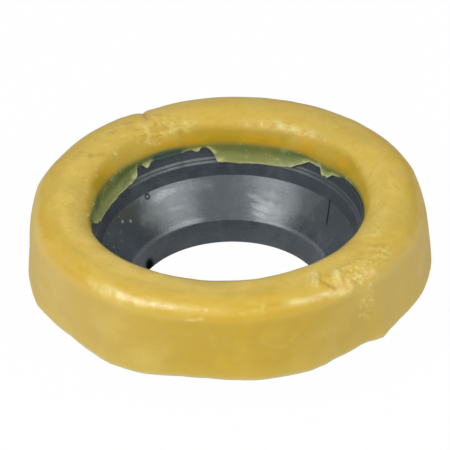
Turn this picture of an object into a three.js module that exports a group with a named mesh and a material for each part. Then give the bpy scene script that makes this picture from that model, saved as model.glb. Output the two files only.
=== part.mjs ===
// Toilet pan seal: a thick wax ring cast round a tapered plastic horn.
// Millimetres, +Z up. The origin is the middle of the horn's bottom rim.
import * as THREE from "three";

// Horn, from its bottom rim upwards, as radii of its inside
const OUTLET_RADIUS = 32.8;
const OUTLET_HEIGHT = 8.2;
const NECK_RADIUS = 34.7;
const NECK_FILLET = 1.2;
const FUNNEL_HEIGHT = 13.7;
const FUNNEL_TOP_RADIUS = 43.9;
const BAND_HEIGHT = 5.1;
const BAND_FLARE = 1.0;
const LEDGE_WIDTH = 0.6;
const LEDGE_HEIGHT = 1.2;
const COLLAR_HEIGHT = 5.2;
const HORN_WALL = 1.5;

// Flange round the collar, which the wax holds
const FLANGE_WIDTH = 10.3;
const FLANGE_THICKNESS = 1.5;
const FLANGE_DROP = 5.4;

// Wax ring
const WAX_THICKNESS = 27.8;
const WAX_BELOW_FLANGE = 10.3;
const WAX_WIDTH = 23.2;
const WALL_TAPER = 2.2;
const FOOT_BEVEL = 0.8;
const SHOULDER_RADIUS = 7.3;
const CROWN_WIDTH = 2.5;
const BORE_SETBACK = 0.6;
const LIP_COVER = 1.4;
const FILM_THICKNESS = 0.6;
const CLEARANCE = 0.3;

// Steps round each piece
const WAX_STEPS = 144;
const HORN_STEPS = 96;

// How far the foot of the wax wall stands out or in: degrees from +X, millimetres
const FOOT_OUTLINE = [
  [0, 0.3], [25, 0.1], [50, -0.4], [75, 0.1], [100, 0.2], [120, -0.3], [150, 0.1], [180, -0.1],
  [202, 0.0], [211, -1.0], [221, -1.6], [230, 0.1], [238, 0.9], [246, 0.3], [256, -1.3],
  [263, -1.4], [270, -0.4], [278, 0.3], [288, 0.4], [296, -0.4], [301, -1.6], [311, -1.8],
  [316, -0.3], [321, -0.9], [326, -1.2], [336, -0.6], [350, 0.0], [360, 0.3],
];

// How far the wax film runs down inside the collar: degrees from +X, millimetres
const FILM_OUTLINE = [
  [0, 0.4], [28, 0.4], [33, 1.6], [38, 3.6], [42, 3.4], [44, 1.4], [50, 1.2], [55, 3.6],
  [60, 6.4], [70, 7.7], [85, 7.1], [94, 6.0], [97, 1.2], [100, 0.4], [104, 1.4], [108, 0.4],
  [125, 0.5], [129, 2.0], [132, 0.4], [136, 3.6], [141, 5.0], [150, 5.8], [165, 5.7],
  [176, 4.4], [184, 2.4], [192, 0.4], [360, 0.4],
];

// Heights that both pieces share
const NECK_LEVEL = OUTLET_HEIGHT;
const FUNNEL_LEVEL = NECK_LEVEL + FUNNEL_HEIGHT;
const BAND_LEVEL = FUNNEL_LEVEL + BAND_HEIGHT;
const LEDGE_LEVEL = BAND_LEVEL + LEDGE_HEIGHT;
const COLLAR_LEVEL = LEDGE_LEVEL + COLLAR_HEIGHT;
const FLANGE_LEVEL = COLLAR_LEVEL - FLANGE_DROP;
const WAX_BOTTOM = FLANGE_LEVEL - FLANGE_THICKNESS - WAX_BELOW_FLANGE;
const WAX_TOP = WAX_BOTTOM + WAX_THICKNESS;

// Radii that both pieces share
const BAND_RADIUS = FUNNEL_TOP_RADIUS + BAND_FLARE;
const LEDGE_RADIUS = BAND_RADIUS + LEDGE_WIDTH;
const COLLAR_RADIUS = LEDGE_RADIUS + LEDGE_WIDTH;
const COLLAR_OUTSIDE = COLLAR_RADIUS + HORN_WALL;
const FLANGE_RADIUS = COLLAR_OUTSIDE + FLANGE_WIDTH;
const BORE_RADIUS = COLLAR_RADIUS + BORE_SETBACK;
const WAX_RADIUS = BORE_RADIUS + WAX_WIDTH;

const point = (radius, height) => new THREE.Vector2(radius, height);

// The point at a height on the line through two points
function pointAtHeight(from, to, height) {
  return from.clone().lerp(to, (height - from.y) / (to.y - from.y));
}

// A line of points moved sideways, to the right of its direction, with mitred corners
function offsetLine(points, distance) {
  const sides = points.slice(1).map((end, i) => {
    const along = end.clone().sub(points[i]).normalize();
    return point(along.y, -along.x);
  });
  return points.map((corner, i) => {
    const before = sides[Math.max(i - 1, 0)];
    const after = sides[Math.min(i, sides.length - 1)];
    const mitre = before.clone().add(after).normalize();
    return corner.clone().addScaledVector(mitre, distance / mitre.dot(after));
  });
}

// The points of an arc that rounds the corner between two straight sides
function roundedCorner(before, corner, after, radius, steps) {
  const back = before.clone().sub(corner).normalize();
  const ahead = after.clone().sub(corner).normalize();
  const halfAngle = Math.acos(back.dot(ahead)) / 2;
  const start = corner.clone().addScaledVector(back, radius / Math.tan(halfAngle));
  const end = corner.clone().addScaledVector(ahead, radius / Math.tan(halfAngle));
  const inward = back.clone().add(ahead).normalize();
  const centre = corner.clone().addScaledVector(inward, radius / Math.sin(halfAngle));
  return Array.from({ length: steps + 1 }, (_, i) => {
    const chord = start.clone().lerp(end, i / steps).sub(centre).normalize();
    return centre.clone().addScaledVector(chord, radius);
  });
}

// Points on a quarter of an ellipse, from one angle to another in degrees
function ellipseArc(centre, halfWidth, halfHeight, fromAngle, toAngle, steps) {
  return Array.from({ length: steps + 1 }, (_, i) => {
    const angle = THREE.MathUtils.degToRad(fromAngle + ((toAngle - fromAngle) * i) / steps);
    return point(
      centre.x + halfWidth * Math.cos(angle),
      centre.y + halfHeight * Math.sin(angle),
    );
  });
}

// The value of an outline at an azimuth, eased between its points
function outlineAt(outline, azimuth) {
  const next = outline.findIndex(([angle]) => angle > azimuth);
  const [fromAngle, fromValue] = outline[next - 1];
  const [toAngle, toValue] = outline[next];
  const share = (azimuth - fromAngle) / (toAngle - fromAngle);
  return THREE.MathUtils.lerp(fromValue, toValue, THREE.MathUtils.smoothstep(share, 0, 1));
}

// A closed ring through one closed section per azimuth, each listed anticlockwise
function ringGeometry(sectionAt, steps) {
  const positions = [];
  const indices = [];
  let sectionLength = 0;
  for (let step = 0; step < steps; step += 1) {
    const azimuth = (360 * step) / steps;
    const angle = THREE.MathUtils.degToRad(azimuth);
    const section = sectionAt(azimuth);
    sectionLength = section.length;
    for (const { x: radius, y: height } of section) {
      positions.push(radius * Math.cos(angle), radius * Math.sin(angle), height);
    }
  }
  for (let step = 0; step < steps; step += 1) {
    const here = step * sectionLength;
    const beside = ((step + 1) % steps) * sectionLength;
    for (let i = 0; i < sectionLength; i += 1) {
      const next = (i + 1) % sectionLength;
      indices.push(here + i, beside + i, beside + next);
      indices.push(here + i, beside + next, here + next);
    }
  }
  const geometry = new THREE.BufferGeometry();
  geometry.setAttribute("position", new THREE.Float32BufferAttribute(positions, 3));
  geometry.setIndex(indices);
  geometry.computeVertexNormals();
  return geometry;
}

// The horn's funnel and band, from the bottom rim up to the ledges
const OUTLET_EDGE = point(OUTLET_RADIUS, 0);
const NECK_CORNER = point(NECK_RADIUS, NECK_LEVEL);
const FUNNEL_CORNER = point(FUNNEL_TOP_RADIUS, FUNNEL_LEVEL);
const BAND_EDGE = point(BAND_RADIUS, BAND_LEVEL);
const HORN_LINE = [OUTLET_EDGE, NECK_CORNER, FUNNEL_CORNER, BAND_EDGE];

// The horn's outside below the flange, trimmed level at both ends
function hornOutside(distance, topLevel) {
  const [outlet, neck, funnel, band] = offsetLine(HORN_LINE, distance);
  return [pointAtHeight(outlet, neck, 0), neck, funnel, pointAtHeight(funnel, band, topLevel)];
}

function hornSection() {
  const flangeBottom = FLANGE_LEVEL - FLANGE_THICKNESS;
  return [
    ...hornOutside(HORN_WALL, flangeBottom),
    point(FLANGE_RADIUS, flangeBottom),
    point(FLANGE_RADIUS, FLANGE_LEVEL),
    point(COLLAR_OUTSIDE, FLANGE_LEVEL),
    point(COLLAR_OUTSIDE, COLLAR_LEVEL),
    point(COLLAR_RADIUS, COLLAR_LEVEL),
    point(COLLAR_RADIUS, LEDGE_LEVEL),
    point(LEDGE_RADIUS, LEDGE_LEVEL),
    point(LEDGE_RADIUS, BAND_LEVEL),
    BAND_EDGE,
    FUNNEL_CORNER,
    ...roundedCorner(FUNNEL_CORNER, NECK_CORNER, OUTLET_EDGE, NECK_FILLET, 3),
    OUTLET_EDGE,
  ];
}

// The inside radius of the horn just round a height, at its narrowest
function collarRadiusNear(height) {
  const level = height - CLEARANCE;
  if (level > LEDGE_LEVEL) {
    return COLLAR_RADIUS;
  }
  if (level > BAND_LEVEL) {
    return LEDGE_RADIUS;
  }
  return pointAtHeight(FUNNEL_CORNER, BAND_EDGE, level).x;
}

// The wax film inside the collar: down its face, round its edge and up its back
function filmSection(drop) {
  const topLevel = COLLAR_LEVEL + CLEARANCE;
  const edgeLevel = COLLAR_LEVEL - drop;
  const topBack = point(COLLAR_RADIUS - CLEARANCE, topLevel);
  const edgeBack = point(collarRadiusNear(edgeLevel) - CLEARANCE, edgeLevel);
  const thick = point(FILM_THICKNESS, 0);
  const middleBack = topBack.clone().lerp(edgeBack, 0.5);
  return [
    topBack.clone().sub(thick),
    middleBack.clone().sub(thick),
    edgeBack.clone().sub(thick),
    edgeBack,
    middleBack,
    topBack,
  ];
}

// The wax that faces the horn's outside, from over the collar down to the underside
function waxInside() {
  const flangeTop = FLANGE_LEVEL + CLEARANCE;
  const flangeBottom = FLANGE_LEVEL - FLANGE_THICKNESS - CLEARANCE;
  const [, neck, funnel, band] = hornOutside(HORN_WALL + CLEARANCE, flangeBottom);
  return [
    point(COLLAR_OUTSIDE + CLEARANCE, COLLAR_LEVEL + CLEARANCE),
    point(COLLAR_OUTSIDE + CLEARANCE, flangeTop),
    point(FLANGE_RADIUS + CLEARANCE, flangeTop),
    point(FLANGE_RADIUS + CLEARANCE, flangeBottom),
    band,
    funnel,
    pointAtHeight(neck, funnel, WAX_BOTTOM),
  ];
}

// The wax wall's outside, from the foot up to where the shoulder starts
function wallLine(azimuth) {
  const press = outlineAt(FOOT_OUTLINE, azimuth);
  const shoulderLevel = WAX_TOP - SHOULDER_RADIUS;
  const foot = point(WAX_RADIUS + press, WAX_BOTTOM);
  const shoulder = point(WAX_RADIUS - WALL_TAPER + 0.3 * press, shoulderLevel);
  const bevelTop = pointAtHeight(foot, shoulder, WAX_BOTTOM + FOOT_BEVEL);
  return [
    point(foot.x - FOOT_BEVEL, WAX_BOTTOM),
    bevelTop,
    bevelTop.clone().lerp(shoulder, 0.5),
    shoulder,
  ];
}

function waxSection(azimuth) {
  const wall = wallLine(azimuth);
  const shoulder = wall[wall.length - 1];
  const shoulderCentre = point(shoulder.x - SHOULDER_RADIUS, shoulder.y);
  const crownInner = WAX_RADIUS - WALL_TAPER - SHOULDER_RADIUS - CROWN_WIDTH;
  const lipCentre = point(crownInner, COLLAR_LEVEL + LIP_COVER);
  const lipWidth = crownInner - BORE_RADIUS;
  const lipHeight = WAX_TOP - lipCentre.y;
  const shoulderArc = ellipseArc(shoulderCentre, SHOULDER_RADIUS, SHOULDER_RADIUS, 0, 90, 5);
  return [
    ...wall,
    ...shoulderArc.slice(1),
    ...ellipseArc(lipCentre, lipWidth, lipHeight, 90, 180, 7),
    ...filmSection(outlineAt(FILM_OUTLINE, azimuth)),
    ...waxInside(),
  ];
}

const waxRing = new THREE.Mesh(
  ringGeometry(waxSection, WAX_STEPS),
  new THREE.MeshStandardMaterial({ color: 0xd6b257, roughness: 0.45, metalness: 0 }),
);
waxRing.name = "wax_ring";

const horn = new THREE.Mesh(
  ringGeometry(hornSection, HORN_STEPS),
  new THREE.MeshStandardMaterial({ color: 0x4a5056, roughness: 0.4, metalness: 0 }),
);
horn.name = "horn";

const seal = new THREE.Group();
seal.name = "toilet_pan_seal";
seal.add(waxRing, horn);

export default seal;
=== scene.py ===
"""Toilet pan seal: a thick wax ring cast round a plastic horn, in a plain pale studio."""

import logging
import math
from dataclasses import dataclass, field, fields
from enum import Enum
from itertools import product
from typing import Callable, Optional, Sequence, Union

import bpy
import numpy as np
from mathutils import Matrix, Vector


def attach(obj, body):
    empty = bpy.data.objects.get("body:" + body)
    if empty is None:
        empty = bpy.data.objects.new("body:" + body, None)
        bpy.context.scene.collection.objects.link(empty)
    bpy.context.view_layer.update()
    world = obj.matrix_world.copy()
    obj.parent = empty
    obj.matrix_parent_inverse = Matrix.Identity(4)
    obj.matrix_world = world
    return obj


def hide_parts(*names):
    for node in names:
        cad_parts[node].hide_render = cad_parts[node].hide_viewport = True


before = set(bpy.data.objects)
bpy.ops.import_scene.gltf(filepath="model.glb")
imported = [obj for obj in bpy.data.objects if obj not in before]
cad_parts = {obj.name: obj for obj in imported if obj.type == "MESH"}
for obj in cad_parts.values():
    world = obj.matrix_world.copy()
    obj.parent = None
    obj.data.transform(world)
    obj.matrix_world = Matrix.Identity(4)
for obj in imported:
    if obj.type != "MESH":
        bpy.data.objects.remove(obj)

LOG = logging.getLogger("toilet_pan_seal")
MM = 0.001

# Radii of the circles on which noise is read, in millimetres. A small one gives long bumps.
FILM_NOISE_RADIUS = 45.0
DRAG_NOISE_RADIUS = 22.0

Point = tuple[float, float]
Path = tuple[Point, ...]
Colour = tuple[float, float, float]
Number = Union[float, "Value"]


def from_srgb(red: int, green: int, blue: int) -> Colour:
    """Turns a colour of 0 to 255 a channel into the linear values that shaders take."""
    shares = (channel / 255.0 for channel in (red, green, blue))
    return tuple(s / 12.92 if s <= 0.04045 else ((s + 0.055) / 1.055) ** 2.4 for s in shares)


class Side(Enum):
    """Which part of the wax ring's skin a station lies on."""

    UNDER = 0
    OUTER = 1
    LIP = 2
    FILM = 3
    HIDDEN = 4


class Grain:
    """Smooth noise over points in space, the same at every run."""

    @staticmethod
    def _lattice(cells: np.ndarray, seed: int) -> np.ndarray:
        """Gives each cell of a lattice a value from 0 to 1."""
        mixed = cells[..., 0] * 73856093 ^ cells[..., 1] * 19349663 ^ cells[..., 2] * 83492791
        mixed = (mixed + seed * 374761393) * 1274126177
        mixed ^= mixed >> 15
        mixed *= 2246822519
        return ((mixed ^ (mixed >> 13)) & 0xFFFF) / 65535.0

    @staticmethod
    def waves(points: np.ndarray, length: float, seed: int, layers: int = 1) -> np.ndarray:
        """Layered noise.

        Args:
            points: array whose last axis holds x, y and z.
            length: distance between bumps of the coarsest layer, in the points' unit.
            seed: any whole number.
            layers: how many layers, each half the size and half the height of the last.

        Returns:
            One value a point, about -1 to 1.
        """
        total = np.zeros(points.shape[:-1])
        for layer in range(layers):
            scaled = points / (length / 2**layer) + 17.3 * layer
            cells = np.floor(scaled).astype(np.int64)
            share = scaled - cells
            share = share * share * (3.0 - 2.0 * share)
            for corner in product((0, 1), repeat=3):
                weight = np.prod(np.where(corner, share, 1.0 - share), axis=-1)
                values = 2.0 * Grain._lattice(cells + corner, seed + layer) - 1.0
                total += weight * values / 2**layer
        return total


def ease(values: np.ndarray, low: float, high: float) -> np.ndarray:
    """Rises smoothly from 0 at low to 1 at high."""
    share = np.clip((values - low) / (high - low), 0.0, 1.0)
    return share * share * (3.0 - 2.0 * share)


def height_point(start: Point, end: Point, height: float) -> Point:
    """The point at a height on the line through two (radius, height) points."""
    share = (height - start[1]) / (end[1] - start[1])
    return (start[0] + share * (end[0] - start[0]), height)


def offset_line(line: Sequence[Point], distance: float) -> list[Point]:
    """Moves a line of points to the right of its direction, with mitred corners.

    Args:
        line: (radius, height) points.
        distance: how far each side moves.

    Returns:
        As many points as were given.
    """
    points = [Vector(p) for p in line]
    sides = []
    for start, end in zip(points, points[1:]):
        along = (end - start).normalized()
        sides.append(Vector((along.y, -along.x)))
    moved = []
    for i, corner in enumerate(points):
        before, after = sides[max(i - 1, 0)], sides[min(i, len(sides) - 1)]
        mitre = (before + after).normalized()
        moved.append(tuple(corner + mitre * (distance / mitre.dot(after))))
    return moved


def round_corners(corners: Sequence[tuple[float, float, float]], steps: int) -> list[Point]:
    """Rounds the corners of a closed outline.

    Args:
        corners: (radius, height, fillet) of each corner.
        steps: sides of each fillet's arc.

    Returns:
        The outline's points, in the same order.
    """
    outline: list[Point] = []
    for i, (radius, height, fillet) in enumerate(corners):
        here = Vector((radius, height))
        back = (Vector(corners[i - 1][:2]) - here).normalized()
        ahead = (Vector(corners[(i + 1) % len(corners)][:2]) - here).normalized()
        half = math.acos(max(-1.0, min(1.0, back.dot(ahead)))) / 2.0
        start, end = (here + side * (fillet / math.tan(half)) for side in (back, ahead))
        centre = here + (back + ahead).normalized() * (fillet / math.sin(half))
        for step in range(steps + 1):
            spoke = (start.lerp(end, step / steps) - centre).normalized()
            outline.append(tuple(centre + spoke * fillet))
    return outline


def spin_outline(name: str, outline: Sequence[Point], steps: int) -> bpy.types.Object:
    """Spins a closed outline round the Z axis into a ring.

    Args:
        name: the new piece's name.
        outline: (radius, height) points in millimetres, listed anticlockwise.
        steps: how many copies go round.

    Returns:
        The ring, whose points carry their place in the outline in the attribute "station".
    """
    bpy.ops.object.select_all(action="DESELECT")
    bpy.ops.mesh.primitive_circle_add(vertices=len(outline), radius=1.0, location=(0, 0, 0))
    ring = bpy.context.object
    ring.name = ring.data.name = name
    for vertex, (radius, height) in zip(ring.data.vertices, outline):
        vertex.co = (radius * MM, 0.0, height * MM)
    stations = ring.data.attributes.new("station", "INT", "POINT")
    stations.data.foreach_set("value", list(range(len(outline))))
    turn = ring.modifiers.new("turn", "SCREW")
    turn.axis, turn.angle, turn.screw_offset = "Z", math.tau, 0.0
    turn.steps = turn.render_steps = steps
    turn.use_merge_vertices, turn.merge_threshold = True, 1e-6
    bpy.ops.object.modifier_apply(modifier=turn.name)
    bpy.ops.object.mode_set(mode="EDIT")
    bpy.ops.mesh.select_all(action="SELECT")
    bpy.ops.mesh.normals_make_consistent(inside=False)
    bpy.ops.object.mode_set(mode="OBJECT")
    return ring


class Value:
    """An output socket that takes part in arithmetic: each step adds a Math node."""

    def __init__(self, shader: "Shader", socket: bpy.types.NodeSocket) -> None:
        """Wraps one socket of a shader's tree."""
        self.shader = shader
        self.socket = socket

    def _math(self, operation: str, *operands: Number) -> "Value":
        """Adds a Math node of one operation on up to three operands."""
        settings = {"operation": operation}
        return self.shader.node("ShaderNodeMath", settings, dict(enumerate(operands)))

    def __add__(self, other: Number) -> "Value":
        """Adds a value."""
        return self._math("ADD", self, other)

    def __sub__(self, other: Number) -> "Value":
        """Takes a value away."""
        return self._math("SUBTRACT", self, other)

    def __rsub__(self, other: float) -> "Value":
        """Is taken away from a number."""
        return self._math("SUBTRACT", other, self)

    def __mul__(self, other: Number) -> "Value":
        """Multiplies by a value."""
        return self._math("MULTIPLY", self, other)

    def __truediv__(self, other: Number) -> "Value":
        """Divides by a value."""
        return self._math("DIVIDE", self, other)

    __radd__ = __add__

    def clamped(self) -> "Value":
        """Holds the value between 0 and 1."""
        return self._math("MINIMUM", self._math("MAXIMUM", self, 0.0), 1.0)

    def most(self, other: Number) -> "Value":
        """The larger of this and another value."""
        return self._math("MAXIMUM", self, other)

    def eased(self, low: float, high: float) -> "Value":
        """Rises smoothly from 0 at low to 1 at high, and falls where high is the lower."""
        inputs = {"Value": self, "From Min": low, "From Max": high}
        return self.shader.node("ShaderNodeMapRange", {"interpolation_type": "SMOOTHSTEP"}, inputs)


class Shader:
    """The node tree of one finish, made by calls and by arithmetic on its sockets."""

    def __init__(self, name: str) -> None:
        """Starts a material with an empty tree."""
        self.material = bpy.data.materials.new(name)
        self.material.use_nodes = True
        self.tree = self.material.node_tree
        self.tree.nodes.clear()

    @staticmethod
    def _find(sockets: Sequence[bpy.types.NodeSocket], key: Union[int, str]) -> bpy.types.NodeSocket:
        """Finds a socket by its number, identifier or name."""
        if isinstance(key, int):
            return sockets[key]
        return next(s for s in sockets if key in (s.identifier, s.name))

    def node(
        self,
        kind: str,
        settings: Optional[dict] = None,
        inputs: Optional[dict] = None,
        output: Union[int, str] = 0,
    ) -> Value:
        """Adds a node.

        Args:
            kind: the node's type.
            settings: its own properties, which are set first.
            inputs: a value or a link for each socket that is named or numbered.
            output: the socket that is handed back.

        Returns:
            That output socket.
        """
        made = self.tree.nodes.new(kind)
        for key, setting in (settings or {}).items():
            setattr(made, key, setting)
        for key, content in (inputs or {}).items():
            socket = self._find(made.inputs, key)
            if isinstance(content, Value):
                self.tree.links.new(content.socket, socket)
            elif socket.type == "RGBA" and len(content) == 3:
                socket.default_value = (*content, 1.0)
            else:
                socket.default_value = content
        return Value(self, self._find(made.outputs, output))

    def position(self) -> Value:
        """The place on the piece, in metres."""
        return self.node("ShaderNodeTexCoord", output="Object")

    def axis(self, place: Value, name: str) -> Value:
        """One coordinate of a place, in millimetres."""
        return self.node("ShaderNodeSeparateXYZ", None, {"Vector": place}, name) * 1000.0

    def attribute(self, name: str) -> Value:
        """A number that the piece's points carry."""
        return self.node("ShaderNodeAttribute", {"attribute_name": name}, output="Fac")

    def noise(self, place: Value, size: float, detail: float = 3.0, warp: float = 0.0) -> Value:
        """Cloudy noise from 0 to 1 with bumps about size metres apart."""
        inputs = {"Vector": place, "Scale": 1.0 / size, "Detail": detail, "Distortion": warp}
        return self.node("ShaderNodeTexNoise", None, inputs, "Fac")

    def stretched(self, place: Value, scale: Colour) -> Value:
        """A place whose x, y and z are multiplied."""
        return self.node("ShaderNodeMapping", {"vector_type": "POINT"}, {"Vector": place, "Scale": scale})

    def distance(self, place: Value, point: Sequence[float]) -> Value:
        """How far a place is from a point, in metres."""
        inputs = {0: place, 1: tuple(point)}
        return self.node("ShaderNodeVectorMath", {"operation": "DISTANCE"}, inputs, "Value")

    def mix(self, first: Union[Colour, Value], second: Union[Colour, Value], share: Number) -> Value:
        """Blends two colours."""
        inputs = {"Factor_Float": share, "A_Color": first, "B_Color": second}
        return self.node("ShaderNodeMix", {"data_type": "RGBA"}, inputs, "Result_Color")

    def layered(self, base: Union[Colour, Value], *layers: tuple[Union[Colour, Value], Number]) -> Value:
        """Lays colours over one another.

        Args:
            base: the lowest colour.
            layers: each further colour and the share of it that shows.

        Returns:
            The blend.
        """
        for tint, share in layers:
            base = self.mix(base, tint, share)
        return base

    def bump(self, height: Value, depth: float, strength: Number, under: Optional[Value] = None) -> Value:
        """A normal that follows a height of 0 to 1, whose full range is depth metres."""
        inputs = {"Height": height, "Distance": depth, "Strength": strength}
        if under is not None:
            inputs["Normal"] = under
        return self.node("ShaderNodeBump", None, inputs, "Normal")

    def surface(self, inputs: dict) -> bpy.types.Material:
        """Ends the tree in a plain surface shader, and hands the material back."""
        shaded = self.node("ShaderNodeBsdfPrincipled", None, inputs)
        return self.finish(shaded)

    def finish(self, shaded: Value) -> bpy.types.Material:
        """Joins a shader to the output, and hands the material back."""
        output = self.tree.nodes.new("ShaderNodeOutputMaterial")
        self.tree.links.new(shaded.socket, output.inputs["Surface"])
        return self.material


@dataclass
class Horn:
    """The moulded plastic horn, in millimetres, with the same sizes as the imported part."""

    outlet_radius: float = 32.8
    neck_radius: float = 34.7
    neck_level: float = 8.2
    funnel_radius: float = 43.9
    funnel_level: float = 21.9
    band_radius: float = 44.9
    band_level: float = 27.0
    ledge_width: float = 0.6
    ledge_height: float = 1.2
    collar_level: float = 33.4
    wall: float = 1.5
    flange_width: float = 10.3
    flange_top: float = 28.0
    flange_thickness: float = 1.5
    edge: float = 0.22
    ledge_round: float = 0.25
    funnel_round: float = 0.6
    neck_round: float = 1.5
    funnel_round_outside: float = 1.2
    neck_round_outside: float = 2.2
    fillet_steps: int = 5
    steps: int = 384
    smooth_angle: float = 28.0

    def inside(self) -> list[Point]:
        """The inside of the wall, from the bottom rim up to the collar's top."""
        ledge = self.band_radius + self.ledge_width
        collar = ledge + self.ledge_width
        ledge_level = self.band_level + self.ledge_height
        return [
            (self.outlet_radius, 0.0),
            (self.neck_radius, self.neck_level),
            (self.funnel_radius, self.funnel_level),
            (self.band_radius, self.band_level),
            (ledge, self.band_level),
            (ledge, ledge_level),
            (collar, ledge_level),
            (collar, self.collar_level),
        ]

    def outside(self, gap: float, top_level: float) -> list[Point]:
        """The outside below the flange, or a line that runs a gap outside it.

        Args:
            gap: distance from the plastic.
            top_level: height at which the line ends.

        Returns:
            Its points from the bottom up.
        """
        outlet, neck, funnel, band = offset_line(self.inside()[:4], self.wall + gap)
        return [
            height_point(outlet, neck, 0.0),
            neck,
            funnel,
            height_point(funnel, band, top_level),
        ]

    def outline(self) -> list[Point]:
        """The whole section with its moulded fillets."""
        outlet, neck, funnel, band, ledge_in, ledge_out, collar_foot, collar_top = self.inside()
        flange_under = self.flange_top - self.flange_thickness
        collar_out = collar_top[0] + self.wall
        rim = collar_out + self.flange_width
        low = self.outside(0.0, flange_under)
        fillets = (self.edge, self.neck_round_outside, self.funnel_round_outside, self.edge)
        corners = [(*point, fillet) for point, fillet in zip(low, fillets)]
        corners += [
            (rim, flange_under, self.edge),
            (rim, self.flange_top, self.edge),
            (collar_out, self.flange_top, self.edge),
            (collar_out, self.collar_level, self.edge),
            (*collar_top, self.edge),
            (*collar_foot, self.ledge_round),
            (*ledge_out, self.edge),
            (*ledge_in, self.ledge_round),
            (*band, self.edge),
            (*funnel, self.funnel_round),
            (*neck, self.neck_round),
            (*outlet, self.edge),
        ]
        return round_corners(corners, self.fillet_steps)

    def narrowest(self, heights: np.ndarray, reach: float = 0.35) -> np.ndarray:
        """The inside radius near each height, at its narrowest within a reach up or down."""
        line = self.inside()
        levels = np.array([height + 1e-4 * i for i, (_, height) in enumerate(line)])
        radii = np.array([radius for radius, _ in line])
        tries = [np.interp(heights + step, levels, radii) for step in np.linspace(-reach, reach, 7)]
        return np.min(tries, axis=0)

    def build(self) -> bpy.types.Object:
        """Spins the section into the finished piece."""
        piece = spin_outline("horn_moulding", self.outline(), self.steps)
        bpy.ops.object.shade_smooth_by_angle(angle=math.radians(self.smooth_angle))
        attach(piece, "root")
        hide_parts("horn")
        return piece

    def on_wall(self, azimuth: float, height: float) -> tuple[float, float, float]:
        """The point of the inside wall at an azimuth in degrees and a height, in metres."""
        line = self.inside()
        radius = float(np.interp(height, [h for _, h in line], [r for r, _ in line]))
        angle = math.radians(azimuth)
        return (radius * math.cos(angle) * MM, radius * math.sin(angle) * MM, height * MM)


@dataclass(frozen=True)
class Stroke:
    """A ridge or groove drawn over the wax along (azimuth, reach) points.

    Reach is the way in millimetres along the section, from the wall's foot over the crown into the bore.
    Tone says how pale the wax gets there, which on some ridges paints their highlight, or below 0 how dark,
    which paints shade in the groove.
    """

    path: Path
    width: float = 1.2
    height: float = 0.14
    tone: float = 0.4


@dataclass(frozen=True)
class Rub:
    """An oval patch where the wax was rubbed rough, with its middle as (azimuth, reach)."""

    middle: Point
    along: float
    across: float
    rough: float = 0.15


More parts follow.
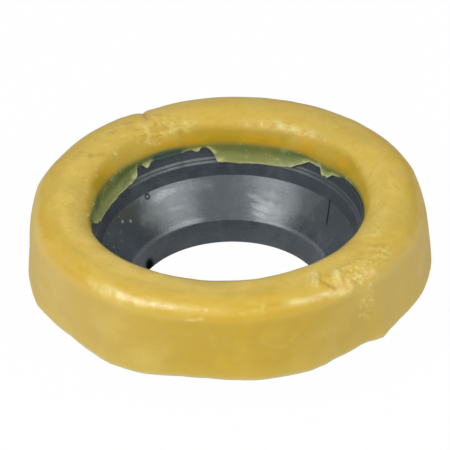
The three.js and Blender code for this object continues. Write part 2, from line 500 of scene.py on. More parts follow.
@dataclass(frozen=True)
class WaxMarks:
    """Every mark that handling left on the soft wax, with glints painted in pale tone and shade painted in
    dark tone along grooves. Each crumb or dot is (azimuth, reach, size).
    """

    notch: tuple[Stroke, ...] = (
        Stroke(((117.5, 26), (118.5, 30), (119.5, 36), (119.5, 38.5)), 2.2, -0.6, -0.4),
        Stroke(((121.5, 26), (122, 31), (122.5, 34.5)), 2.4, 0.1, 0.05),
        Stroke(((117, 33.9), (115, 34.2), (112, 34.6)), 1.6, 0.2, 0.2),
        Stroke(((116, 34.9), (116.2, 39.2)), 1.6, 0.06, -0.2),
    )
    back_web: tuple[Stroke, ...] = (
        Stroke(((123.5, 37.1), (122.9, 40.5), (123, 43.5), (124.8, 45.5), (127, 46)), 1.6, 0.25, 0.49),
        Stroke(((122.5, 43.8), (120.8, 43.3)), 2.2, 0.25, 0.7),
        Stroke(((123.5, 45.8), (121, 46.6)), 1.6, 0.15, 0.42),
        Stroke(((119.8, 43.6), (116.7, 44.3), (113.8, 44.3), (111, 44.3), (108.8, 43.9)), 1.4, 0.22, 0.56),
        Stroke(((108.8, 43.9), (107, 45.5), (104.8, 46.1)), 1.4, 0.22, 0.49),
        Stroke(((117.3, 40.6), (115.2, 40.6), (114.5, 42)), 1.3, 0.18, 0.35),
        Stroke(((116.5, 41), (113.8, 42.8)), 1.2, -0.15, -0.49),
        Stroke(((112.8, 42), (112, 43.3), (111.8, 44.3)), 1.6, 0.18, 0.35),
        Stroke(((107, 41.3), (106, 42.6), (104.8, 44.3)), 1.6, 0.19, 0.49),
        Stroke(((103.8, 42.9), (101.5, 43.3)), 1.5, 0.15, 0.42),
        Stroke(((125, 47.7), (123.2, 46.8), (121.2, 48.6)), 1.1, 0.12, 0.28),
        Stroke(((119, 38.5), (118, 42)), 1.2, -0.12, -0.42),
    )
    left_drags: tuple[Stroke, ...] = (
        Stroke(((140.5, 35.3), (135.8, 34.6), (131.8, 35.3), (128.2, 35.7)), 1.6, 0.08, 0.3),
        Stroke(((139.8, 40.2), (140.2, 42.6), (142, 44.6)), 2.4, 0.08, 0.25),
        Stroke(((135.8, 39.6), (132.2, 40.2), (128.5, 40.2)), 1.5, 0.08, 0.25),
        Stroke(((172.2, 44.6), (171, 45)), 1.7, 0.25, 0.9),
        Stroke(((166.3, 42.6), (165, 43.4)), 1.1, 0.12, 0.3),
        Stroke(((153.8, 37.8), (149.8, 40.2), (146, 42.9)), 1.5, -0.1, -0.5),
        Stroke(((137.2, 35.7), (133.5, 36.7)), 1.4, -0.1, -0.45),
        Stroke(((130.3, 34.6), (124.8, 35.7)), 1.4, -0.1, -0.45),
        Stroke(((144.8, 38.5), (139.8, 40.2)), 1.5, 0.1, 0.35),
        Stroke(((157.8, 34.6), (150.2, 35.3)), 1.8, -0.07, -0.35),
        Stroke(((162, 36.5), (156, 38), (151, 38.2)), 1.5, 0.05, 0.12),
    )
    right_drags: tuple[Stroke, ...] = (
        Stroke(((13, 41.3), (11, 44.3)), 1.6, -0.08, -0.3),
        Stroke(((5.5, 43.6), (6.2, 47.1)), 1.8, -0.1, -0.35),
        Stroke(((20, 43.5), (18.2, 46.5)), 1.6, -0.08, -0.3),
        Stroke(((31, 44.6), (27.8, 44.6), (23.5, 46.8)), 1.6, -0.06, -0.3),
        Stroke(((358, 43.3), (360, 46)), 1.6, -0.08, -0.25),
        Stroke(((9, 40), (8.5, 44.5)), 1.5, 0.07, 0.15),
        Stroke(((16, 42), (15.5, 46)), 1.4, 0.07, 0.15),
    )
    film_glints: tuple[Stroke, ...] = (
        Stroke(((163, 51.6), (157, 51.4)), 1.4, 0, 0.25),
        Stroke(((175, 49), (172, 50)), 1, 0, 0.6),
        Stroke(((183, 48), (186, 47), (189, 46.6)), 1.2, 0.1, 0.8),
        Stroke(((169.8, 50.8), (169, 51.4)), 1, 0, -0.7),
        Stroke(((74, 55.5), (69, 57.5)), 2.6, 0, 0.32),
        Stroke(((66, 54.5), (62, 55), (58.5, 56.5)), 2.6, 0, 0.35),
    )
    lip_glints: tuple[Stroke, ...] = (
        Stroke(((84.2, 44.3), (81.2, 43.9), (78.8, 44.3), (77.5, 44.6)), 1.5, 0.14, 0.2),
        Stroke(((76.2, 43.9), (74.2, 43.3), (72, 43.6)), 1.7, 0.14, 0.2),
        Stroke(((71.2, 44.6), (69.8, 43.9)), 2, 0.18, 0.5),
        Stroke(((68.5, 43.9), (66.2, 43.6), (63.8, 43.6)), 2.6, 0.24, 0.9),
        Stroke(((63, 43.9), (60, 43.6), (57.2, 43.6)), 2, 0.2, 0.75),
        Stroke(((55.2, 43.4), (52.8, 42.9), (50, 42.3)), 2.2, 0.2, 0.6),
        Stroke(((53, 44.9), (51, 44.3), (49.2, 43.6)), 2, 0.16, 0.5),
        Stroke(((53.8, 46.5), (52.2, 46.8)), 1.2, 0.12, 0.25),
        Stroke(((46.2, 43.9), (43.5, 43.3)), 1.3, 0.08, 0.15),
    )
    upper_right_rub: tuple[Stroke, ...] = (
        Stroke(((338.2, 41.6), (341.2, 42), (339.5, 39.9), (336.5, 38.5), (335.2, 39.2)), 1.1, 0.1, 0.28),
        Stroke(((335.2, 41.6), (332.5, 41.3), (329.8, 39.6)), 1.1, 0.1, 0.28),
        Stroke(((329.8, 38.9), (328, 36.4), (330.2, 36), (332.5, 37.4)), 1.1, 0.1, 0.28),
        Stroke(((320.5, 33.5), (321.8, 32.1), (322.5, 30.3), (323.5, 28.6), (324.2, 26.8)), 1.4, 0.16, 0.5),
        Stroke(((319.2, 30.9), (320.5, 28.8), (322.5, 26.5)), 1.3, 0.12, 0.4),
        Stroke(((320.4, 31.8), (321.4, 29.4), (322.6, 28)), 1, -0.1, -0.3),
        Stroke(((316, 33), (318, 32.2), (319.2, 33.4)), 1.2, 0.1, 0.35),
    )
    # A torn flap: its pale tone paints the lit facet, and the dark grooves beside it paint its shadow.
    torn_flap: tuple[Stroke, ...] = (
        Stroke(((305.4, 33.4), (304, 30), (303.2, 27.2)), 2.5, 0.45, 0.8),
        Stroke(((306.9, 32.6), (305.6, 29.8), (304.8, 27)), 1.2, -0.3, -0.6),
        Stroke(((303.8, 32.8), (302.6, 30), (302.4, 27.7)), 1.4, 0.25, 0.45),
        Stroke(((298.3, 33.5), (298.8, 30.9), (300.4, 28), (302.2, 25.6)), 1.3, -0.26, -0.6),
        Stroke(((300.4, 30), (301.6, 27.6)), 1.8, 0.1, 0.3),
        Stroke(((303, 24.4), (305.2, 23.9), (306.4, 25.2), (305.4, 26.4)), 1.5, 0.24, 0.7),
        Stroke(((305, 28.8), (306.5, 27.7), (308.5, 26.8), (311, 27.1)), 1.5, 0.2, 0.4),
        Stroke(((305, 26.5), (306.4, 25.8)), 1.4, 0.18, 0.45),
    )
    fingers: tuple[Stroke, ...] = (
        Stroke(((297, 37.4), (295.2, 33.5), (292.8, 30.3)), 1.1, 0.2, 0.6),
        Stroke(((298.5, 37.4), (297, 33.2), (294.5, 29.7)), 1.2, 0.22, 0.75),
        Stroke(((299.8, 37.4), (298, 32.4), (295.6, 28.8)), 1.2, 0.2, 0.65),
        Stroke(((300.6, 36.4), (299.4, 32.1), (297.4, 29.7)), 1.3, -0.14, -0.3),
        Stroke(((296.2, 35.5), (294.2, 31.5)), 1, -0.08, -0.2),
    )
    # Rubbed marks on the front right; the long pale strokes along the shoulder paint the lamps' highlight
    # there.
    right_rub: tuple[Stroke, ...] = (
        Stroke(((308.8, 32.8), (309, 31.2), (311.2, 31.2)), 1.6, 0.13, 0.34),
        Stroke(((313, 31.8), (313.2, 30.3), (315.2, 30.3), (316, 28.8)), 1.3, 0.11, 0.3),
        Stroke(((311, 28.6), (312, 27.4), (313.8, 27.4)), 1.4, 0.11, 0.3),
        Stroke(((285, 26.8), (290, 26.4), (293.8, 26.2)), 2.2, 0.13, 0.54),
        Stroke(((295.5, 27.1), (298, 26.5), (300, 25), (302.8, 24.1), (305.8, 23.6)), 1.8, 0.2, 0.72),
        Stroke(((291.6, 25.5), (292, 25.5)), 1.2, -0.22, -0.72),
        Stroke(((312.5, 20.9), (313.2, 19.6)), 1.3, 0.15, 0.42),
        Stroke(((310.2, 16.1), (311.2, 14.7)), 1.1, 0.15, 0.36),
        Stroke(((308, 12.9), (308.8, 11.5)), 1.2, 0.13, 0.3),
        Stroke(((311.5, 18), (312.3, 16.6)), 1.2, -0.13, -0.36),
    )
    # Rubbed ridges on the front-left shoulder; their pale tone paints the lamps' highlight there, brightest
    # in the middle strokes.
    shoulder_rub: tuple[Stroke, ...] = (
        Stroke(((225, 26), (232.5, 25.8), (238.2, 25.9), (242, 26.2)), 3.8, 0.08, 0.55),
        Stroke(((237, 30.6), (243.5, 31)), 5, 0, 0.2),
        Stroke(((241.2, 26), (243.6, 26), (245.7, 26.2)), 2.6, 0.14, 0.95),
        Stroke(((246.6, 26), (248.2, 25.8), (249.8, 26)), 2.2, 0.12, 0.8),
        Stroke(((250.8, 26), (252.8, 25.8), (255.4, 25.8)), 2.2, 0.12, 0.75),
        Stroke(((256.8, 26.2), (259.2, 25.9), (261, 25.9)), 1.8, 0.08, 0.15),
        Stroke(((262.8, 26.2), (263.2, 26.2)), 1.4, 0.14, 0.35),
        Stroke(((257.3, 21.8), (259.5, 22.3), (262.8, 23)), 1, 0.12, 0.5),
        Stroke(((258.8, 23.2), (261.8, 23.7)), 0.9, -0.08, -0.25),
        Stroke(((277, 29), (276.8, 25)), 1.8, 0.05, 0.2),
        Stroke(((279.2, 28.6), (278.4, 24.1)), 1.5, 0.05, 0.2),
    )
    wall_scratch: tuple[Stroke, ...] = (
        Stroke(((278.2, 14.7), (280, 12.6), (282.6, 11.5), (285.2, 12), (287.4, 14.6)), 1, 0.03, 0.1),
        Stroke(((306.4, 12.6), (308.8, 11.2)), 1, -0.1, -0.25),
    )
    rubs: tuple[Rub, ...] = (
        Rub((117, 41), 13, 6.5, 0.19),
        Rub((105, 43), 6.5, 3, 0.1),
        Rub((133, 38.5), 10, 5, 0.06),
        Rub((66, 43.6), 20, 2.6, 0.15),
        Rub((307, 29), 14, 6.5, 0.11),
        Rub((321, 30), 9, 5, 0.1),
        Rub((334, 39), 7.5, 6, 0.08),
        Rub((311, 16), 3.5, 6.5, 0.1),
        Rub((246, 26.2), 24, 2.4, 0.05),
        Rub((278, 26.5), 4, 4, 0.05),
        Rub((8, 43.5), 16, 3, 0.04),
    )
    # Raised pale bits of wax on the rubbed patches; the small dots on the film and on the inner lip are
    # painted glints.
    crumbs: tuple[tuple[float, float, float], ...] = (
        (305.8, 26.8, 1.3), (308.5, 26.5, 1.2), (310.5, 26.2, 1.3), (308.8, 29.1, 1.1),
        (311.2, 29.4, 1.2), (314, 29.1, 1.2), (316.2, 29.1, 1.1), (317.5, 27.7, 1.2),
        (312.8, 27.1, 1.1), (314.8, 26.5, 1.3), (310.2, 33.5, 0.9), (311.8, 36.4, 0.9),
        (309.8, 24.4, 1.3), (312.5, 22.4, 1.2), (313.2, 19.6, 1.3), (310.2, 17.1, 1),
        (311.2, 14.3, 1.1), (308.6, 12.6, 1), (311.8, 20.8, 0.9), (306.8, 28.6, 1), (307.4, 31.4, 1),
        (313.4, 31.6, 1), (318.6, 29.6, 1), (309.6, 27.8, 1), (297.2, 26, 1.1), (300.6, 24.6, 1),
        (293.4, 25.2, 0.9), (263.4, 25.9, 1), (172, 44.8, 1.4), (156.5, 43.6, 1), (159.2, 44.9, 1.1),
        (142.2, 43.9, 1.3), (165.6, 43.4, 0.9), (139.6, 42.6, 0.7), (129.6, 44.6, 0.9),
        (147.6, 50, 0.8), (152.4, 50.2, 0.8), (176.4, 49, 0.9), (184.6, 47.4, 0.9),
        (124.6, 46.6, 0.9), (120.4, 47.8, 0.8), (45, 43.8, 1), (352.4, 42, 0.8),
    )

    def strokes(self) -> list[Stroke]:
        """Every stroke of every group."""
        groups = (getattr(self, group.name) for group in fields(self))
        return [mark for group in groups for mark in group if isinstance(mark, Stroke)]


@dataclass
class WaxSkin:
    """The wax ring's section at every azimuth, as arrays of (azimuth, station)."""

    azimuths: np.ndarray
    sides: np.ndarray
    sections: np.ndarray
    reach: np.ndarray

    def points(self) -> np.ndarray:
        """The places of all points, in millimetres."""
        angles = np.radians(self.azimuths)[:, None]
        radii, heights = self.sections[..., 0], self.sections[..., 1]
        return np.stack([radii * np.cos(angles), radii * np.sin(angles), heights], -1)

    def on(self, *sides: Side) -> np.ndarray:
        """Which stations lie on any of these sides."""
        return np.isin(self.sides, [side.value for side in sides])[None, :]

    def away(self, azimuth: float, reach: float) -> tuple[np.ndarray, np.ndarray]:
        """How far each point lies from a spot, round the ring and across it."""
        turn = (self.azimuths[:, None] - azimuth + 180.0) % 360.0 - 180.0
        along = np.radians(turn) * self.sections[..., 0]
        return along, (self.reach - reach)[None, :] + 0.0 * along

    def stroke_share(self, stroke: Stroke, wander: np.ndarray) -> np.ndarray:
        """How much of a stroke each point takes.

        Args:
            stroke: the stroke, which thins out towards both ends.
            wander: how far the stroke strays sideways at each point, in millimetres.

        Returns:
            From 0 away from the stroke to 1 on its line.
        """
        radii = self.sections[..., 0]
        nearest, passed, done = np.full(radii.shape, 1e3), np.zeros(radii.shape), 0.0 * radii
        for start, end in zip(stroke.path, stroke.path[1:]):
            along, across = self.away(*start)
            line_along = math.radians(end[0] - start[0]) * radii
            line_across = end[1] - start[1]
            length = np.hypot(line_along, line_across)
            share = np.clip((along * line_along + across * line_across) / length**2, 0.0, 1.0)
            gap = np.hypot(along - share * line_along + wander, across - share * line_across + wander)
            passed = np.where(gap < nearest, done + share * length, passed)
            nearest = np.minimum(nearest, gap)
            done = done + length
        ends = ease(np.minimum(passed, done - passed), -0.5 * stroke.width, 1.4 * stroke.width)
        return ends * np.exp(-((nearest / (0.5 * stroke.width)) ** 2))

    def rub_share(self, rub: Rub) -> np.ndarray:
        """How much of a rubbed patch each point takes, from 0 outside to 1 in its middle."""
        along, across = self.away(*rub.middle)
        return ease(np.hypot(along / rub.along, across / rub.across), 1.2, 0.5)

    def normals(self) -> np.ndarray:
        """The outward direction at each point, as (radius, height)."""
        along = np.roll(self.sections, -1, axis=1) - np.roll(self.sections, 1, axis=1)
        normals = np.stack([along[..., 1], -along[..., 0]], -1)
        return normals / (np.linalg.norm(normals, axis=-1, keepdims=True) + 1e-9)


@dataclass
class WaxRing:
    """The wax ring with the film that ran down inside the collar, in millimetres.

    Each path holds (azimuth, value) points. The value says how far the foot bulges, the shoulder
    slumps, or the lip swells or stands back, at what height the film starts or ends, at what reach
    the painted shade inside the lip starts, or a share from 0 to 1. Each bead is (azimuth, height, size).
    """

    horn: Horn
    marks: WaxMarks = field(default_factory=WaxMarks)
    steps: int = 768
    under: float = 16.1
    top: float = 44.0
    radius: float = 70.1
    taper: float = 2.3
    foot_round: float = 0.7
    shoulder_round: float = 7.3
    crown_inner: float = 58.0
    bore: float = 45.75
    lip_level: float = 34.3
    gap: float = 0.1
    clearance: float = 0.3
    film: float = 0.28
    film_end: float = 33.2
    shoulder_reach: float = 26.0
    lip_reach: float = 42.0
    smooth_angle: float = 60.0
    face_stations: int = 18
    back_stations: int = 7
    foot_outline: Path = (
        (0, -0.1), (25, -0.1), (50, -0.4), (75, 0.1), (100, 0.2), (120, -0.3), (150, 0.1),
        (180, -0.7), (190, -0.6), (202, -0.1), (207, -0.8), (211, -1), (219, -1.6), (223, -1.1),
        (230, -0.1), (236, 1), (239, 1), (246, 0.7), (250, -0.2), (256, -1.3), (263, -1.4),
        (269, -0.5), (276, 0.2), (284, 0.4), (291, 0.2), (296, -0.4), (299, -1.4), (305, -2),
        (309, -2.4), (311.5, -2), (313.5, -0.9), (316, -0.1), (320, -1.1), (325, -1.6), (334, -0.9),
        (339, -0.6), (350, -0.3), (360, -0.1),
    )
    slump: Path = (
        (0, 1.5), (8, 0.95), (14, 0.25), (25, 0.25), (40, 0.25), (60, 0.15), (85, 0.45), (96, 0.65),
        (105, 1), (112, 1.5), (120, 1.5), (126, 0.9), (137, 0.95), (153, 1.1), (160, 0.85),
        (168, 0.45), (178, 1.4), (188, 1), (200, 0.2), (336, 0), (346, 0.9), (354, 1.5), (360, 1.5),
    )
    lip_swell: Path = ((0, 0), (195, 0), (215, 0.3), (325, 0.3), (345, 0), (360, 0))
    lip_back_off: Path = (
        (0, 1.1), (15, 1), (26, 0.6), (31, 0), (181, 0), (184, 0.8), (189, 1.2), (193, 1.5),
        (198, 1.55), (208, 1.25), (216, 1.05), (222, 0.95), (227, 0.7), (231, 0.4), (236, 0),
        (325, 0), (340, 0.5), (350, 1), (360, 1.1),
    )
    film_edge: Path = (
        (0, 33), (27, 33), (30.3, 32.7), (34.9, 32.1), (37.4, 30.2), (40.6, 29.9), (42, 31),
        (42.8, 32), (47.2, 32.1), (49.5, 32.2), (51.2, 31.5), (54.5, 30), (58.2, 28.4), (61.3, 27.4),
        (64.8, 27.1), (69.7, 26.9), (74.4, 26.8), (79.1, 26.6), (83.7, 26.5), (88.2, 26.8),
        (91.9, 27), (94.2, 27.4), (94.9, 29), (95.6, 30.6), (97.2, 32.2), (99.5, 33), (101.3, 32.9),
        (102.3, 32.1), (103.7, 31.9), (105.5, 32.6), (108, 32.6), (111, 31.9), (120, 31.7),
        (123.5, 32.4), (126.2, 32.5), (128, 31.4), (129.4, 31.4), (130.7, 32.8), (132.4, 33.1),
        (134.2, 32.6), (134.8, 30.9), (136.5, 29.6), (138.5, 28.7), (141.3, 28.4), (146.5, 27.9),
        (153.4, 27.5), (161, 27.4), (166.7, 27.8), (170.4, 28.2), (172.6, 28.4), (173.8, 29.9),
        (175, 29.3), (176.6, 29.8), (178, 31.5), (179.2, 31.2), (181, 32.5), (184, 33), (360, 33),
    )
    film_start: Path = (
        (0, 35.6), (30, 34.8), (38, 33.5), (44, 33.5), (52, 34.2), (60, 34), (70, 33.6), (88, 33.8),
        (101, 34), (110, 34.6), (120, 35.1), (131, 35.2), (144, 36), (156, 36.4), (168, 36.6),
        (177, 37), (186, 37.2), (193, 34.5), (200, 32.5), (335, 32.5), (345, 34.8), (360, 35.6),
    )
    # Reach at which the painted shade inside the lip begins, at each azimuth.
    hollow_start: Path = (
        (0, 44), (18, 43), (30, 41.8), (45, 42.5), (56, 42.4), (66, 43), (78, 43.8), (90, 43.9),
        (104, 42.8), (117, 41), (125, 41), (150, 41.6), (185, 44.5), (205, 47), (330, 47), (345, 45),
        (360, 44),
    )
    # Share of the pale grey tone on the shoulder and wall: partly dusty wax, partly a painted sheen on the
    # sides seen at a slant; none at the front.
    dust_share: Path = (
        (0, 0.85), (40, 0.8), (140, 0.85), (180, 0.92), (212, 0.82), (235, 0.5), (262, 0), (285, 0),
        (305, 0.42), (325, 0.88), (360, 0.85),
    )
    # Share of a richer gold on the front-left shoulder, painted shade like the shoulder band.
    amber_share: Path = ((0, 0), (198, 0), (210, 0.42), (228, 0.42), (238, 0), (360, 0))
    # Share of painted light on the crown inside the lip, as if lit from above: none at the back, most at
    # the front and sides.
    bloom_share: Path = (
        (0, 0.9), (18, 0.5), (35, 0), (135, 0), (160, 0.6), (180, 1), (345, 1), (360, 0.9),
    )
    polish_share: Path = (
        (0, 0.2), (35, 0.5), (50, 1), (125, 1), (140, 0.6), (165, 0.35), (205, 0.35), (218, 0.9),
        (265, 1), (285, 0.85), (318, 0.7), (330, 0.25), (360, 0.2),
    )
    beads: tuple[tuple[float, float, float], ...] = (
        (102.2, 32.3, 1.3), (128.6, 31.9, 1.4), (92.9, 27.8, 1.6), (95.5, 31, 1), (58, 28.6, 1.4),
        (41.2, 30.5, 1.1), (37.6, 30.6, 0.8), (51.5, 31.5, 1.2), (136.2, 30.4, 1.5),
        (139.6, 29.2, 0.8), (173, 28.9, 0.9), (178.6, 31.6, 0.9),
    )
    sheer_stretch: Path = ((0, 0), (107, 0), (111, 1), (124, 1), (126.5, 0), (360, 0))

    @staticmethod
    def _around(azimuths: np.ndarray, values: Path) -> np.ndarray:
        """Reads a list of (azimuth, value) points at every azimuth."""
        return np.interp(azimuths, *zip(*values))

    def _column(self, skin: WaxSkin, values: Path) -> np.ndarray:
        """The same as a column, to go with every station of a skin."""
        return self._around(skin.azimuths, values)[:, None]

    def _drop(self, edge: np.ndarray) -> np.ndarray:
        """Is 1 where the film hangs down into the collar, and 0 where it ends at the collar's top."""
        return ease(self.film_end - edge, 0.3, 1.2)

    @staticmethod
    def _run(start: np.ndarray, end: np.ndarray, count: int) -> list[np.ndarray]:
        """Stations spaced evenly from one to another, without the first."""
        return [start + (end - start) * (i / count) for i in range(1, count + 1)]

    @staticmethod
    def _arc(centre: np.ndarray, size: np.ndarray, angles: Point, count: int) -> list[np.ndarray]:
        """Stations on an ellipse about a centre, without the first.

        Args:
            centre: the centre at each azimuth.
            size: half width and half height at each azimuth.
            angles: where it starts and ends, in degrees.
            count: how many stations.

        Returns:
            The stations.
        """
        turns = np.radians(np.linspace(*angles, count + 1)[1:])
        return [centre + size * [math.cos(turn), math.sin(turn)] for turn in turns]

    def _bead_share(self, azimuths: np.ndarray, levels: np.ndarray) -> np.ndarray:
        """How much of a bead each place on the film takes, from 0 to 1."""
        share = 0.0 * levels
        for azimuth, level, size in self.beads:
            along = np.radians(azimuths - azimuth) * self.bore
            gap = (along / size) ** 2 + ((levels - level) / (0.6 * size)) ** 2
            share = np.maximum(share, np.exp(-gap))
        return share

    def _film(
        self, azimuths: np.ndarray, back_off: np.ndarray
    ) -> tuple[list[np.ndarray], list[np.ndarray]]:
        """The film's face from the lip down, and its back from the edge up.

        Args:
            azimuths: degrees from +X.
            back_off: how far the lip stands back from the collar's inside at each azimuth.

        Returns:
            Two lists of stations.
        """
        angles = np.radians(azimuths)
        spots = np.stack([np.cos(angles), np.sin(angles), 0.0 * angles], -1) * FILM_NOISE_RADIUS
        edge = self._around(azimuths, self.film_edge)
        drop = self._drop(edge)
        edge += 0.12 * Grain.waves(spots, 1.8, 5, 2) * drop
        rim = 0.3 * drop * (1.0 + 0.7 * Grain.waves(spots, 2.6, 9))
        rim *= 1.0 - 0.8 * self._around(azimuths, self.sheer_stretch)
        bridge_levels = (self.horn.band_level + self.horn.ledge_height, self.horn.collar_level)
        bridge_radii = (self.horn.band_radius, self.horn.inside()[-1][0])
        face, back = [], []
        top = self.horn.collar_level + self.clearance
        edge = edge + (np.maximum(edge, top) - edge) * ease(back_off, 0.0, 0.4)
        for share in np.linspace(0.0, 1.0, self.face_stations):
            level = self.lip_level + (edge + 0.25 - self.lip_level) * share
            here = spots + np.stack([0 * level, 0 * level, level], -1)
            bead = rim * np.exp(-(((level - edge - 0.5) / 0.5) ** 2))
            bead = bead + 0.45 * self._bead_share(azimuths, level)
            thick = self.film + bead + 0.07 * drop * Grain.waves(here, 5.0, 13)
            bridge = np.interp(level, bridge_levels, bridge_radii)
            wall = np.minimum(self.horn.narrowest(level), bridge)
            face.append(np.stack([wall - self.gap - thick + back_off, level], -1))
        for share in np.linspace(0.0, 1.0, self.back_stations):
            level = edge + (top - 0.1 * (1.0 - ease(back_off, 0.0, 0.4)) - edge) * share
            back.append(np.stack([self.horn.narrowest(level) - self.gap + back_off, level], -1))
        inner = face[-1].copy()
        inner[:, 0] += 0.35 * (back[0][:, 0] - inner[:, 0])
        inner[:, 1] = edge
        return [*face, inner], back

    def _seat(self, at: Callable[..., np.ndarray], back_off: np.ndarray) -> list[np.ndarray]:
        """The stations that follow the collar's top and outside, the flange and the funnel."""
        collar_inside = self.horn.inside()[-1][0]
        collar_top = self.horn.collar_level + self.clearance
        collar_out = collar_inside + self.horn.wall + self.clearance
        flange_rim = collar_out + self.horn.flange_width
        flange_high = self.horn.flange_top + self.clearance
        flange_low = self.horn.flange_top - self.horn.flange_thickness - self.clearance
        _, _, funnel, band = self.horn.outside(self.clearance, flange_low)
        return [
            at(collar_inside - self.gap + back_off, collar_top),
            at(collar_out, collar_top),
            at(collar_out, flange_high),
            at(flange_rim, flange_high),
            at(flange_rim, flange_low),
            at(*band),
            at(*funnel),
        ]

    def _skin(self) -> WaxSkin:
        """The plain skin, before any unevenness."""
        azimuths = np.arange(self.steps) * 360.0 / self.steps
        every = np.ones_like(azimuths)
        press = self._around(azimuths, self.foot_outline)
        back_off = self._around(azimuths, self.lip_back_off)

        def at(radius: Union[float, np.ndarray], height: Union[float, np.ndarray]) -> np.ndarray:
            """A station that has one radius and height, or one for each azimuth."""
            return np.stack([radius * every, height * every], -1)

        funnel_low = self.horn.outside(self.clearance, self.under)
        inner_foot = at(height_point(funnel_low[1], funnel_low[2], self.under)[0], self.under)
        foot_radius = self.radius + press
        foot_in = at(foot_radius - self.foot_round, self.under)
        foot_up = at(foot_radius, self.under + self.foot_round)
        shoulder = at(self.radius - self.taper + 0.3 * press, self.top - self.shoulder_round)
        crown_out = shoulder + [-self.shoulder_round, self.shoulder_round]
        lip_size = at(self.crown_inner - self.bore - back_off, self.top - self.lip_level)
        foot_arc = at(self.foot_round, self.foot_round)
        shoulder_arc = at(self.shoulder_round, self.shoulder_round)
        face, back = self._film(azimuths, back_off)

        # The last number of each run or arc is its count of stations.
        runs: list[tuple[Side, list[np.ndarray]]] = [
            (Side.UNDER, [inner_foot, *self._run(inner_foot, foot_in, 5)]),
            (Side.OUTER, self._arc(foot_up - [self.foot_round, 0], foot_arc, (-90, 0), 4)),
            (Side.OUTER, self._run(foot_up, shoulder, 28)),
            (Side.OUTER, self._arc(shoulder - [self.shoulder_round, 0], shoulder_arc, (0, 90), 22)),
            (Side.OUTER, self._run(crown_out, at(self.crown_inner, self.top), 4)),
            (Side.LIP, self._arc(at(self.crown_inner, self.lip_level), lip_size, (90, 180), 30)),
            (Side.FILM, face[1:]),
            (Side.HIDDEN, [*back, *self._seat(at, back_off)]),
        ]
        sides = np.array([side.value for side, stations in runs for _ in stations])
        sections = np.stack([station for _, stations in runs for station in stations], 1)
        way = np.cumsum(np.hypot(*np.diff(sections.mean(axis=0), axis=0, prepend=0.0).T))
        return WaxSkin(azimuths, sides, sections, way - way[np.argmax(sides == Side.OUTER.value)])

    def _dragged(self, skin: WaxSkin) -> np.ndarray:
        """Places to read noise at, so that its bumps come out long round the ring."""
        turns = np.radians(skin.azimuths)[:, None] + 0.0 * skin.reach[None, :]
        across, away = DRAG_NOISE_RADIUS * np.cos(turns), DRAG_NOISE_RADIUS * np.sin(turns)
        return np.stack([across, away, skin.reach[None, :] + 0.0 * turns], -1)

    def _press(self, skin: WaxSkin) -> dict[str, np.ndarray]:
        """Moves the skin along its normals: slumps, waves, rubs and strokes.

        Args:
            skin: the plain skin, which is changed.

        Returns:
            How rubbed each point is, how pale, which in places is a painted highlight, and how dark with
            painted shade in grooves.
        """
        points, reach, blank = skin.points(), skin.reach[None, :], np.zeros(skin.sections.shape[:2])
        raised = 0.2 * Grain.waves(points, 24.0, 1) + 0.1 * Grain.waves(points, 8.0, 2, 2)
        raised += 0.03 * Grain.waves(points, 2.6, 3, 2)
        raised += 0.05 * Grain.waves(self._dragged(skin), 3.2, 51, 2) * ease(reach, 21.0, 27.0)
        raised -= self._column(skin, self.slump) * np.exp(-(((reach - self.shoulder_reach) / 5.5) ** 2))
        raised += self._column(skin, self.lip_swell) * np.exp(-(((reach - self.lip_reach) / 4.0) ** 2))
        ridges = 0.9 * Grain.waves(points, 4.2, 11, 2) + 0.55 * Grain.waves(points, 1.9, 17)
        crumbs = ease(Grain.waves(points, 1.2, 37), 0.4, 0.75)
        tones = {"rubbed": blank, "pale": blank, "deep_and_groove_shade": blank}
        for rub in self.marks.rubs:
            share = skin.rub_share(rub)
            raised += rub.rough * share * (ridges + 0.6 * crumbs)
            tones["rubbed"] = np.maximum(tones["rubbed"], share * min(1.0, rub.rough / 0.12))
        # Pale specks in the rubbed patches, partly painted glints.
        tones["pale"] = 0.35 * crumbs * tones["rubbed"]
        wander = 0.45 * Grain.waves(points, 3.4, 41)
        broken = 0.25 + 0.75 * ease(Grain.waves(points, 2.1, 31, 2), -0.55, 0.35)
        for stroke in self.marks.strokes():
            solid = min(1.0, 2.2 * abs(stroke.height))
            share = skin.stroke_share(stroke, wander) * (solid + (1.0 - solid) * broken)
            raised += stroke.height * share
            # Pale tone in places paints a highlight; dark tone paints shade in the groove.
            side = "pale" if stroke.tone > 0.0 else "deep_and_groove_shade"
            tones[side] = np.maximum(tones[side], abs(stroke.tone) * share)
        jagged = 0.4 * Grain.waves(points, 1.1, 43)
        for azimuth, middle, size in self.marks.crumbs:
            gap = np.hypot(*skin.away(azimuth, middle)) / size
            share = np.exp(-((2.0 * np.maximum(0.0, gap + jagged * ease(gap, 0.0, 0.5))) ** 2))
            share *= 0.55 + 0.45 * ease(reach, 22.0, 25.0)
            raised += 0.14 * share
            # Pale bits and dots, some of them painted glints.
            tones["pale"] = np.maximum(tones["pale"], 0.52 * share)
        raised *= skin.on(Side.OUTER, Side.LIP) * ease(reach, 52.0, 49.5)
        skin.sections = skin.sections + raised[..., None] * skin.normals()
        return tones

